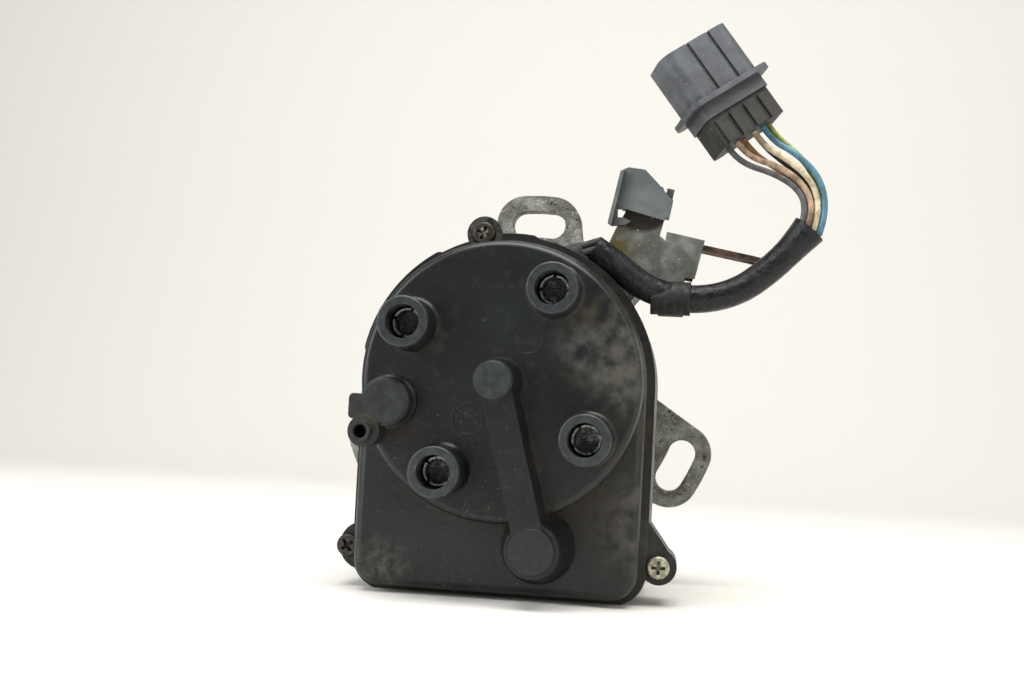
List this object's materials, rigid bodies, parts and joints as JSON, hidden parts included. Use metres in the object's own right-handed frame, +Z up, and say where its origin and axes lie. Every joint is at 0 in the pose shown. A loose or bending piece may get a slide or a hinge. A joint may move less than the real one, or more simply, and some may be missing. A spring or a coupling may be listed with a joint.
{
  "type": "ignition distributor",
  "caption": "Ignition distributor with built-in coil: domed cap with lead towers, slotted mounting ears, driving dog and a wired connector.",
  "frame": {"origin": "on the shaft's axis, in the mating face of the three mounting ears, which lies against the engine", "axes": "+Y along the shaft from the cap to the driving dog, +Z up with the housing's flat side below, +X to the right as seen from the cap"},
  "size_m": [0.1804, 0.1472, 0.2069],
  "materials": {
    "cap_plastic": "black moulded plastic, worn and dusty",
    "elbow_plastic": "black plastic",
    "housing_aluminium": "die cast, weathered",
    "terminal_aluminium": "stamped",
    "strip_brass": "brass",
    "seal_rubber": "black rubber",
    "screw_steel": "zinc plated, dulled",
    "shaft_steel": "ground steel",
    "dog_steel": "hardened steel",
    "bush_bronze": "sintered bronze",
    "brush_carbon": "pressed carbon",
    "rotor_plastic": "brown-black plastic",
    "potting_plastic": "moulded resin",
    "bracket_steel": "plated sheet, stained",
    "stay_steel": "rusty sheet",
    "holder_plastic": "grey nylon",
    "sleeve_vinyl": "black vinyl",
    "connector_grey": "grey nylon",
    "connector_black": "dark nylon",
    "pin_tin": "tin plated",
    "wire_grey": "vinyl",
    "wire_tan": "vinyl",
    "wire_cream": "vinyl",
    "wire_blue": "vinyl",
    "wire_orange": "vinyl",
    "wire_black": "vinyl",
    "wire_green": "vinyl"
  },
  "bodies": {
    "case": {"cap": "cap_plastic", "breather_elbow": "elbow_plastic", "housing": "housing_aluminium", "tower_terminals": "terminal_aluminium", "cap_conductor": "strip_brass", "coil_terminal": "strip_brass", "cap_seal": "seal_rubber", "oil_seal": "seal_rubber", "spigot_o_ring": "seal_rubber", "harness_grommet": "seal_rubber", "cap_ferrules": "screw_steel", "cap_screws": "screw_steel", "retainer_screws": "screw_steel", "plate_screws": "screw_steel", "sensor_screws": "screw_steel", "coil_screws": "screw_steel", "module_screws": "screw_steel", "bracket_bolts": "screw_steel", "brush_spring": "shaft_steel", "bearing_outer_race": "shaft_steel", "bearing_retainer": "shaft_steel", "sensor_plate": "shaft_steel", "rear_bush": "bush_bronze", "leak_cover": "rotor_plastic", "crank_sensor": "potting_plastic", "stroke_sensor": "potting_plastic", "ignition_coil": "potting_plastic", "igniter_module": "potting_plastic", "bracket": "bracket_steel", "bracket_stay": "stay_steel", "connector_holder": "holder_plastic", "harness_sleeve": "sleeve_vinyl", "harness_tape": "sleeve_vinyl", "connector_shell": "connector_grey", "connector_rear": "connector_black", "connector_pins": "pin_tin", "wire_grey": "wire_grey", "wire_tan": "wire_tan", "wire_cream": "wire_cream", "wire_blue": "wire_blue", "wire_orange": "wire_orange", "wire_black": "wire_black", "wire_green": "wire_green"},
    "rotor_shaft": {"shaft": "shaft_steel", "bearing_inner_race": "shaft_steel", "crank_wheel": "shaft_steel", "stroke_wheel": "shaft_steel", "rotor_arm": "rotor_plastic", "rotor_contact": "strip_brass", "rotor_screw": "screw_steel", "coupling_pin": "shaft_steel"},
    "ball_set": {"bearing_balls": "shaft_steel"},
    "brush": {"carbon_brush": "brush_carbon"},
    "driving_dog": {"drive_coupling": "dog_steel", "coupling_ring": "shaft_steel"}
  },
  "joints": [
    {"name": "shaft_spin", "type": "hinge", "parent": "case", "child": "rotor_shaft", "pos_m": [0, 0, 0], "axis": [0, 1, 0], "continuous": true},
    {"name": "ball_roll", "type": "hinge", "parent": "case", "child": "ball_set", "pos_m": [0, 0, 0], "axis": [0, 1, 0], "continuous": true},
    {"name": "dog_rock", "type": "hinge", "parent": "rotor_shaft", "child": "driving_dog", "pos_m": [0, 0.02145, 0], "axis": [1, 0, 0], "range_deg": [-2.5, 2.5]},
    {"name": "brush_press", "type": "slide", "parent": "case", "child": "brush", "axis": [0, -1, 0], "range_m": [0, 0.0015], "stiffness_N_per_m": 100, "springref_m": -0.003, "deforming": ["brush_spring"]}
  ],
  "couplings": [
    {"joint": "ball_roll", "follows": "shaft_spin", "ratio": 0.3825}
  ]
}
